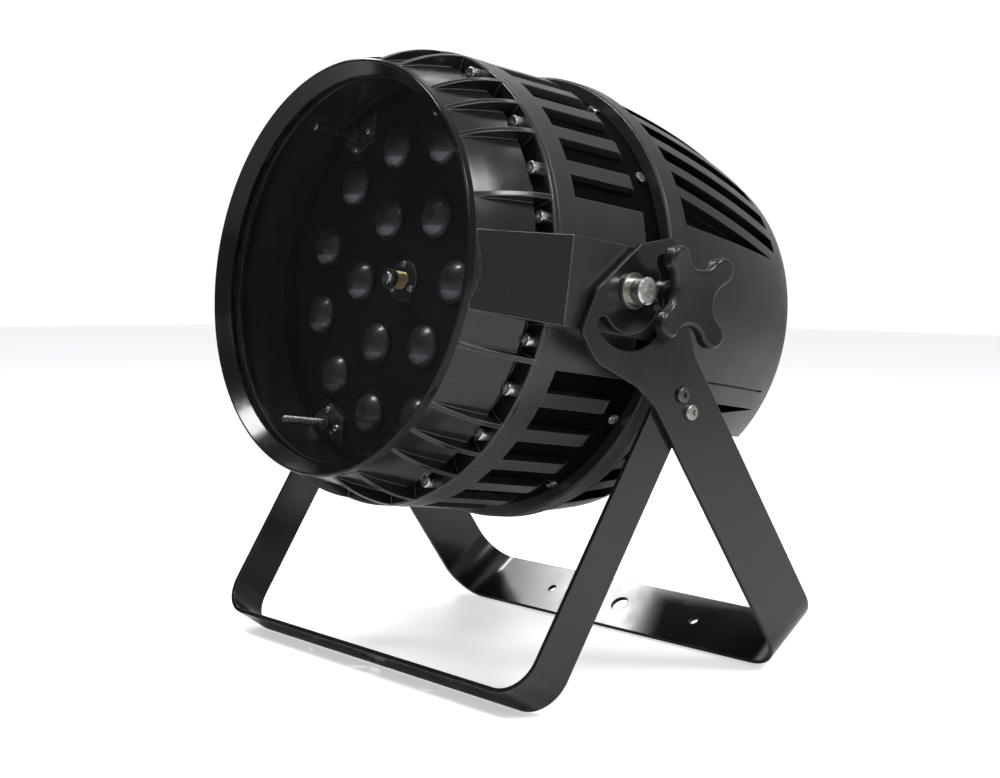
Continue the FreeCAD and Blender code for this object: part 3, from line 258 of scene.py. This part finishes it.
def lens_look():
    """Frosted optic over its black holder, in each lens's own coordinates: grained middle, and a pale
    crescent painted as the collimator's light refracted through the lens.
    """
    look, tree, shader, place = new_look("lens_optic")
    parts = node(tree, "SeparateXYZ", {"Vector": place})
    across = parts.outputs["X"]
    height = parts.outputs["Z"]
    radius = combine(tree, "SQRT", combine(
        tree, "ADD", combine(tree, "MULTIPLY", across, across), combine(tree, "MULTIPLY", height, height)))
    grain = noise(tree, place, 1500.0, 2.0)
    cloud = noise(tree, place, 260.0, 3.0)
    middle = mix_colour(tree, remap(tree, grain, 0.42, 0.66, 0.0, 1.0), grey(0.002), grey(0.05))
    middle = mix_colour(tree, remap(tree, cloud, 0.3, 0.7, 0.0, 0.6), middle, grey(0.01))
    # Painted refracted light: a pale crescent below each lens's middle.
    below = remap(tree, height, -LIT_CRESCENT_DROP * MM, -(LIT_CRESCENT_DROP + 0.5) * MM, 0.0, 1.0)
    within = remap(tree, radius, LIT_CRESCENT_R * MM, (LIT_CRESCENT_R - 0.4) * MM, 0.0, 1.0)
    crescent = combine(tree, "MULTIPLY", below, within)
    tone = mix_colour(tree, crescent, middle, grey(0.13))
    rim = remap(tree, radius, OPTIC_R * MM, (OPTIC_R + 0.6) * MM, 0.0, 1.0)
    tone = mix_colour(tree, rim, tone, grey(0.006))
    tree.links.new(tone, shader.inputs["Base Color"])
    shader.inputs["Roughness"].default_value = 0.34
    shader.inputs["Specular IOR Level"].default_value = 0.3
    shader.inputs["Coat Weight"].default_value = 0.3
    shader.inputs["Coat Roughness"].default_value = 0.08
    tree.links.new(grain_bump(tree, grain, 0.25, 0.00004), shader.inputs["Normal"])
    return look


LOOKS = {
    "cast_front": paint("cast_front", 0.008, 0.19, edge=0.2, edge_rough=0.12),
    "cast_middle": paint("cast_middle", 0.012, 0.36, edge=0.09, edge_rough=0.25, painted_shade_inside=(139.6, 141.0)),
    "cast_rear": paint("cast_rear", 0.009, 0.36, edge=0.04, edge_rough=0.25, shine=0.42),
    "bezel": paint(
        "bezel", 0.004, 0.13, grain=300, grain_height=0.00001, edge=0.05, edge_rough=0.1, shine=0.22),
    "yoke": paint("yoke", 0.008, 0.19, grain=1400, grain_height=0.00002, edge=0.09, edge_rough=0.18),
    "panel": paint("panel", 0.012, 0.5, grain=1700, grain_height=0.00005, edge=0.03),
    "plate": paint("plate", 0.002, 0.6, grain=1500, dust=0.05, shine=0.12),
    "bearing": paint("bearing", 0.006, 0.34, edge=0.3, edge_rough=0.3, dust=0.0, rounding=0.5),
    "steel": metal("steel", (0.62, 0.61, 0.58), 0.24),
    "dull_steel": metal("dull_steel", (0.4, 0.39, 0.36), 0.34),
    "black_steel": metal("black_steel", (0.13, 0.13, 0.12), 0.3),
    "rod_steel": metal("rod_steel", (0.24, 0.24, 0.23), 0.28),
    "nickel": metal("nickel", (0.66, 0.65, 0.62), 0.2),
    "brass": metal("brass", (0.55, 0.43, 0.2), 0.3),
    "milled": metal("milled", (0.55, 0.56, 0.58), 0.35),
    "zinc": metal("zinc", (0.42, 0.44, 0.46), 0.4),
    "motor": metal("motor", (0.05, 0.05, 0.055), 0.45),
    "rubber": moulding("rubber", (0.012, 0.012, 0.012), 0.7),
    "button": moulding("button", (0.035, 0.035, 0.038), 0.6),
    "knob": moulding("knob", (0.005, 0.005, 0.0055), 0.27, grain=1900, rounding=1.4),
    "socket": moulding("socket", (0.014, 0.014, 0.016), 0.45),
    "nylon": moulding("nylon", (0.6, 0.59, 0.55), 0.5),
    "board_green": moulding("board_green", (0.02, 0.13, 0.06), 0.4),
    "board_white": moulding("board_white", (0.75, 0.75, 0.72), 0.45),
    "phosphor": moulding("phosphor", (0.8, 0.62, 0.12), 0.5),
    "mark": moulding("mark", (0.45, 0.45, 0.44), 0.5),
    "window": thin_glass("window", (0.93, 0.94, 0.95, 1), 0.002),
    "display": moulding("display", (0.004, 0.006, 0.01), 0.12, grain=80, height=0.000001, coat=1.0),
    "clear": moulding("clear", (0.3, 0.31, 0.32), 0.15, grain=300, height=0.000005),
    "lens": lens_look(),
}

NODES_OF_LOOK = {
    "bezel": ["front_bezel"],
    "window": ["front_glass"],
    "rubber": ["glass_gasket", "seam_gasket", "rear_gasket"],
    "cast_front": ["front_housing"],
    "steel": [
        "flange_screws", "band_screws", "rear_screws", "panel_screws", "board_screws", "carrier_screws",
        "motor_screws", "knob_stud_right", "knob_stud_left", "yoke_nuts"],
    "cast_middle": ["middle_housing"],
    "cast_rear": ["rear_housing"],
    "panel": ["rear_panel"],
    "display": ["display_window"],
    "board_green": ["display_board", "driver_board"],
    "socket": ["vent_valve", "power_sockets", "data_sockets"],
    "nickel": [
        "safety_eye", "lead_screw", "pivot_bolts", "knob_washer_right", "knob_washer_left",
        "yoke_spacers"],
    "milled": ["heat_spreader"],
    "board_white": ["led_board"],
    "phosphor": ["leds"],
    "clear": ["collimators", "lenses"],
    "plate": ["lens_plate"],
    "rod_steel": ["guide_rods"],
    "bearing": ["guide_bushes", "lead_nut"],
    "brass": ["backlash_spring"],
    "motor": ["zoom_motor"],
    "zinc": ["power_supply", "inner_bracket"],
    "dull_steel": ["pivot_washers", "lock_screws"],
    "button": ["button_up", "button_down", "button_enter", "button_menu"],
    "knob": ["knob_right", "knob_left"],
    "yoke": ["main_yoke", "stand_yoke"],
    "nylon": ["arm_bushes"],
    "black_steel": ["fold_screws"],
}


# ---- rounding of the CAD nodes' edges ----------------------------------------------------------------
def soften(name, width):
    """Round a CAD node's hard edges with modifiers, so that they catch the light; width in millimetres."""
    obj = nodes[name]
    weld = obj.modifiers.new("weld", "WELD")
    weld.merge_threshold = 0.000004
    flat = obj.modifiers.new("flat", "DECIMATE")
    flat.decimate_type = "DISSOLVE"
    flat.angle_limit = math.radians(0.6)
    bevel = obj.modifiers.new("bevel", "BEVEL")
    bevel.width = width * MM
    bevel.segments = 2
    bevel.limit_method = "ANGLE"
    bevel.angle_limit = math.radians(28.0)
    bevel.use_clamp_overlap = True
    normals = obj.modifiers.new("normals", "WEIGHTED_NORMAL")
    normals.weight = 60
    normals.keep_sharp = False


for look, names in NODES_OF_LOOK.items():
    for name in names:
        nodes[name].data.materials.clear()
        nodes[name].data.materials.append(LOOKS[look])

EDGE_ROUNDING = {
    "front_housing": 0.5, "middle_housing": 0.5, "rear_housing": 0.6, "front_bezel": 0.25, "main_yoke": 0.35,
    "stand_yoke": 0.35, "rear_panel": 0.3, "pivot_washers": 0.2, "knob_right": 0.4, "knob_left": 0.4,
}
for name, width in EDGE_ROUNDING.items():
    soften(name, width)


# ---- pieces that CAD leaves plain ------------------------------------------------------------------------
def lamp_place(x, forward, z):
    """World place of a point given sideways, forward along the lamp axis and up, in millimetres."""
    return LAMP @ Vector((x, -forward, z))


def add_piece(name, mesh, look, body, origin=None):
    """Object with lamp-frame axes that rides on a body; mesh points are millimetres from its origin."""
    if not mesh.materials:
        mesh.materials.append(LOOKS[look])
    made = bpy.data.objects.new(name, mesh)
    bpy.context.scene.collection.objects.link(made)
    place = origin if origin is not None else PIVOT
    made.matrix_world = Matrix.Translation(place) @ Matrix.Rotation(-TILT, 4, "X")
    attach(made, body)
    return made


def smooth(mesh, angle=35.0):
    """Smooth shading, with edges sharper than the angle kept hard."""
    for face in mesh.polygons:
        face.use_smooth = True
    mesh.set_sharp_from_angle(angle=math.radians(angle))


def ring_mesh(name, stations, radius_at, sides, centres=((0.0, 0.0),)):
    """Closed round bars along the lamp axis; radius_at(forward, angle) gives the skin in millimetres."""
    shape = bmesh.new()
    for cx, cz in centres:
        rings = []
        for forward in stations:
            ring = []
            for k in range(sides):
                angle = 2 * math.pi * k / sides
                r = radius_at(forward, angle)
                point = Vector((cx + r * math.cos(angle), -forward, cz + r * math.sin(angle)))
                ring.append(shape.verts.new(point * MM))
            rings.append(ring)
        for near, far in zip(rings, rings[1:]):
            for k in range(sides):
                nxt = (k + 1) % sides
                shape.faces.new((near[k], near[nxt], far[nxt], far[k]))
        shape.faces.new(rings[0][::-1])
        shape.faces.new(rings[-1])
    bmesh.ops.recalc_face_normals(shape, faces=shape.faces)
    mesh = bpy.data.meshes.new(name)
    shape.to_mesh(mesh)
    shape.free()
    smooth(mesh)
    return mesh


def thread_radius(forward, angle, crest, starts):
    """Right-handed rounded thread."""
    phase = forward / THREAD_PITCH - starts * angle / (2 * math.pi)
    height = min(1.0, max(0.0, 0.5 + 0.8 * math.cos(2 * math.pi * phase)))
    return crest - THREAD_DEPTH * (1 - height)


def even_steps(start, end, step):
    """Evenly spaced values from start to end, about one step apart."""
    count = max(1, round((end - start) / step))
    return [start + (end - start) * k / count for k in range(count + 1)]


THREAD_PITCH = 2.0         # of the lead screw and of the threaded rods
THREAD_DEPTH = 0.7

# Lead screw: 8 mm, four starts, plain tail in the motor and a chamfered tip.
SCREW_LOW, SCREW_HIGH = lamp_box("lead_screw")
SCREW_BACK = -SCREW_HIGH.y
SCREW_TIP = -SCREW_LOW.y
SCREW_R = (SCREW_HIGH.x - SCREW_LOW.x) / 2
SCREW_STARTS = 4
SCREW_THREAD_BACK = -20.0


def lead_screw_radius(forward, angle):
    if forward < SCREW_THREAD_BACK:
        return SCREW_R
    tip = SCREW_R - 1.0 + (SCREW_TIP - forward)
    return min(tip, thread_radius(forward, angle, SCREW_R, SCREW_STARTS))


screw_stations = [SCREW_BACK, SCREW_THREAD_BACK - 0.1]
screw_stations += even_steps(SCREW_THREAD_BACK, SCREW_TIP - 0.05, 0.3)
screw_mesh = ring_mesh("screw_thread", screw_stations, lead_screw_radius, 32)
screw = add_piece("screw_thread", screw_mesh, "nickel", "zoom_screw")
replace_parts(screw, "lead_screw")

# Guide rods with a chamfered tip; the two lower ones have a thread in front of the lens plate.
ROD_LOW, ROD_HIGH = lamp_box("guide_rods")
ROD_R = 3.0
ROD_TIP = -ROD_LOW.y
ROD_BACK = -ROD_HIGH.y
ROD_X = ROD_HIGH.x - ROD_R
ROD_Z = ROD_HIGH.z - ROD_R
ROD_THREAD_BACK = 50.0


def plain_rod_radius(forward, angle):
    return min(ROD_R, ROD_R - 0.8 + (ROD_TIP - forward))


def threaded_rod_radius(forward, angle):
    if forward < ROD_THREAD_BACK:
        return ROD_R
    return min(plain_rod_radius(forward, angle), thread_radius(forward, angle, ROD_R, 1))


plain_stations = [ROD_BACK, ROD_TIP - 0.8, ROD_TIP]
threaded_stations = [ROD_BACK, ROD_THREAD_BACK - 0.1] + even_steps(ROD_THREAD_BACK, ROD_TIP, 0.25)
upper_places = ((ROD_X, ROD_Z), (-ROD_X, ROD_Z))
lower_places = ((ROD_X, -ROD_Z), (-ROD_X, -ROD_Z))
upper = ring_mesh("rods_plain", plain_stations, plain_rod_radius, 32, upper_places)
lower = ring_mesh("rods_threaded", threaded_stations, threaded_rod_radius, 24, lower_places)
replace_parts(add_piece("rods_plain", upper, "rod_steel", "lamp_head"), "guide_rods")
add_piece("rods_threaded", lower, "rod_steel", "lamp_head")

# Lenses: a thick domed optic in each holder. All share one mesh, each with its own origin.
PLATE_LOW = lamp_box("lens_plate")[0]
HOLDER_HEIGHT = 1.6        # the lens holders stand this far in front of the plate
PLATE_FRONT = -PLATE_LOW.y - HOLDER_HEIGHT
LENS_R = 13.98
DOME_R = 17.5              # radius of the dome's ball
DOME_HEIGHT = 7.5          # top of the dome, in front of the plate
LENS_RINGS = [(6, 47.3, 0.0), (12, 90.5, 15.0)]     # count, circle's radius, first angle


def lens_mesh():
    """Turned lens with a chamfered foot behind the plate's face, a rounded rim and a dome."""
    profile = [(-5.0, 0.0), (-5.0, LENS_R - 0.4), (-4.6, LENS_R), (1.2, LENS_R)]
    profile += [(1.5, LENS_R - 0.2), (HOLDER_HEIGHT, LENS_R - 0.5)]
    centre = DOME_HEIGHT - DOME_R
    steps = 18
    widest = math.acos((HOLDER_HEIGHT - centre) / DOME_R)
    for k in range(steps + 1):
        angle = widest * (1 - k / steps)
        profile.append((centre + DOME_R * math.cos(angle), DOME_R * math.sin(angle)))
    shape = bmesh.new()
    sides = 56
    rings = []
    for forward, r in profile:
        if r < 0.01:
            rings.append([shape.verts.new(Vector((0, -forward, 0)) * MM)])
            continue
        ring = []
        for k in range(sides):
            a = 2 * math.pi * k / sides
            ring.append(shape.verts.new(Vector((r * math.cos(a), -forward, r * math.sin(a))) * MM))
        rings.append(ring)
    for near, far in zip(rings, rings[1:]):
        for k in range(sides):
            nxt = (k + 1) % sides
            corners = [near[k % len(near)], near[nxt % len(near)], far[nxt % len(far)], far[k % len(far)]]
            shape.faces.new(list(dict.fromkeys(corners)))
    bmesh.ops.recalc_face_normals(shape, faces=shape.faces)
    mesh = bpy.data.meshes.new("lens_shape")
    shape.to_mesh(mesh)
    shape.free()
    smooth(mesh, 40.0)
    return mesh


lens_shape = lens_mesh()
lens_number = 0
for count, circle, first in LENS_RINGS:
    for k in range(count):
        angle = math.radians(first + 360.0 / count * k)
        centre = lamp_place(circle * math.cos(angle), PLATE_FRONT, circle * math.sin(angle))
        optic = add_piece(f"lens_{lens_number:02d}", lens_shape, "lens", "lens_carrier", centre)
        if lens_number == 0:
            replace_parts(optic, "lenses")
        lens_number += 1


# Raised symbols on the four buttons.
SYMBOL_SUNK = 0.15
SYMBOL_RAISED = 0.2


def raised_symbol(name, outlines, button):
    """Thin plates on a button's face; outlines are lists of (x, z) millimetres from its middle."""
    low, high = lamp_box(button)
    middle = Vector(((low.x + high.x) / 2, high.y, (low.z + high.z) / 2))
    shape = bmesh.new()
    for outline in outlines:
        lower_ring = [shape.verts.new(Vector((x, -SYMBOL_SUNK, z)) * MM) for x, z in outline]
        upper_ring = [shape.verts.new(Vector((x, SYMBOL_RAISED, z)) * MM) for x, z in outline]
        shape.faces.new(upper_ring)
        shape.faces.new(lower_ring[::-1])
        for k in range(len(outline)):
            nxt = (k + 1) % len(outline)
            shape.faces.new((lower_ring[k], lower_ring[nxt], upper_ring[nxt], upper_ring[k]))
    bmesh.ops.recalc_face_normals(shape, faces=shape.faces)
    mesh = bpy.data.meshes.new(name)
    shape.to_mesh(mesh)
    shape.free()
    add_piece(name, mesh, "mark", button, LAMP @ middle)


def round_outline(radius, sides=24):
    return [(radius * math.cos(2 * math.pi * k / sides), radius * math.sin(2 * math.pi * k / sides))
            for k in range(sides)]


bars = [[(-2.2, z - 0.3), (2.2, z - 0.3), (2.2, z + 0.3), (-2.2, z + 0.3)] for z in (-1.3, 0.0, 1.3)]
raised_symbol("symbol_menu", bars, "button_menu")
raised_symbol("symbol_up", [[(-2.2, -1.5), (2.2, -1.5), (0.0, 2.0)]], "button_up")
raised_symbol("symbol_down", [[(-2.2, 1.5), (0.0, -2.0), (2.2, 1.5)]], "button_down")
raised_symbol("symbol_enter", [round_outline(1.6)], "button_enter")


# ---- stage, light and camera ----------------------------------------------------------------------------
def make_floor():
    bpy.ops.mesh.primitive_grid_add(x_subdivisions=4, y_subdivisions=4, size=14, location=(0, 0, -0.0006))
    floor = bpy.context.active_object
    floor.name = "floor"
    look, tree, shader, place = new_look("pale_floor")
    cloud = noise(tree, place, 1.5, 3.0)
    tree.links.new(mix_colour(tree, cloud, grey(0.80), grey(0.83)), shader.inputs["Base Color"])
    shader.inputs["Roughness"].default_value = 0.6
    shader.inputs["Emission Color"].default_value = (1, 1, 1, 1)
    # The backdrop is lit evenly to white, as the camera sees it.
    seen = node(tree, "LightPath").outputs["Is Camera Ray"]
    tree.links.new(combine(tree, "MULTIPLY", seen, 0.5), shader.inputs["Emission Strength"])
    floor.data.materials.append(look)


MIRRORED = (-0.755, -0.637, 0.158)         # what the window mirrors to the camera lies this way
BEYOND = (-0.755, 0.656, 0.0)              # away from the camera, past the lamp


def make_world():
    """Soft grey surround, darker where the window mirrors it to the camera; the camera itself sees white."""
    world = bpy.data.worlds.new("studio")
    bpy.context.scene.world = world
    world.use_nodes = True
    tree = world.node_tree
    back = tree.nodes["Background"]
    back.inputs["Color"].default_value = (0.95, 0.965, 1.0, 1)
    direction = node(tree, "TexCoord").outputs["Generated"]
    mirrored = dot_product(tree, direction, MIRRORED)
    surround = remap(tree, mirrored, 0.55, 0.93, SURROUND, SURROUND * 0.12)
    # The white backdrop beyond the lamp also shows in surfaces seen at a glancing angle.
    beyond = dot_product(tree, direction, BEYOND)
    backdrop = remap(tree, beyond, 0.6, 0.92, 0.0, 0.55)
    surround = combine(tree, "ADD", surround, backdrop)
    seen = node(tree, "LightPath").outputs["Is Camera Ray"]
    tree.links.new(mix_value(tree, seen, surround, 1.05), back.inputs["Strength"])


def area_light(name, place, size, power):
    """Rectangular light aimed at the tilt axis; place and size in metres, power in watts."""
    data = bpy.data.lights.new(name, "AREA")
    data.shape = "RECTANGLE"
    data.size = size[0]
    data.size_y = size[1]
    data.energy = power
    light = bpy.data.objects.new(name, data)
    bpy.context.scene.collection.objects.link(light)
    light.location = place
    light.rotation_mode = "QUATERNION"
    light.rotation_quaternion = (PIVOT - Vector(place)).to_track_quat("-Z", "Y")


CAMERA_PLACE = Vector((784.8, -681.7, 3.5))        # from the middle of the tilt axis, millimetres
CAMERA_AZIMUTH = -53.88
CAMERA_RISE = -5.98
CAMERA_ROLL = 0.43
LENS_SHIFTS = {"shift_x": 0.1843, "shift_y": 0.0568}


def shift_from_here(camera):
    """Shift the lens from the camera's present place only; seen from any other the lamp is centred.
    The shift falls from its full value at no distance from this place to nothing at 50 mm."""
    here = bpy.data.objects.new("camera_place", camera.data)
    here.location = camera.location
    bpy.context.scene.collection.objects.link(here)
    for setting, shift in LENS_SHIFTS.items():
        curve = camera.data.driver_add(setting)
        curve.driver.type = "SUM"
        distance = curve.driver.variables.new()
        distance.type = "LOC_DIFF"
        distance.targets[0].id = camera
        distance.targets[1].id = here
        curve.modifiers.remove(curve.modifiers[0])
        curve.keyframe_points.add(2)
        for key, place in zip(curve.keyframe_points, ((0.0, shift), (0.05, 0.0))):
            key.co = place
            key.interpolation = "LINEAR"


def make_camera():
    """Camera level with the tilt axis, looking slightly down, with the lamp off centre in the frame."""
    data = bpy.data.cameras.new("camera")
    camera = bpy.data.objects.new("camera", data)
    bpy.context.scene.collection.objects.link(camera)
    azimuth = math.radians(CAMERA_AZIMUTH)
    rise = math.radians(CAMERA_RISE)
    roll = math.radians(CAMERA_ROLL)
    look = Vector((math.sin(azimuth) * math.cos(rise), math.cos(azimuth) * math.cos(rise), math.sin(rise)))
    right = look.cross(Vector((0, 0, 1))).normalized()
    up = right.cross(look)
    turned_right = right * math.cos(roll) + up * math.sin(roll)
    turned_up = up * math.cos(roll) - right * math.sin(roll)
    turn = Matrix((turned_right, turned_up, -look)).transposed()
    camera.rotation_mode = "QUATERNION"
    camera.rotation_quaternion = turn.to_quaternion()
    camera.location = PIVOT + CAMERA_PLACE * MM
    data.sensor_width = 36.0
    data.lens = 56.16
    data.clip_start = 0.01
    shift_from_here(camera)
    bpy.context.scene.camera = camera


make_floor()
make_world()
area_light("key", (1.77, 0.36, 2.07), (1.0, 0.65), 40)
area_light("back_strip", (-0.1, 1.5, 2.33), (2.3, 0.12), 4)
area_light("front", (1.6, -1.65, 2.1), (0.9, 0.9), 5)
area_light("left", (-1.62, 0.14, 1.93), (0.42, 0.42), 13)
area_light("above_front", (-0.53, -1.05, 2.47), (0.7, 0.45), 44)
make_camera()
bpy.context.scene.view_settings.view_transform = "Standard"
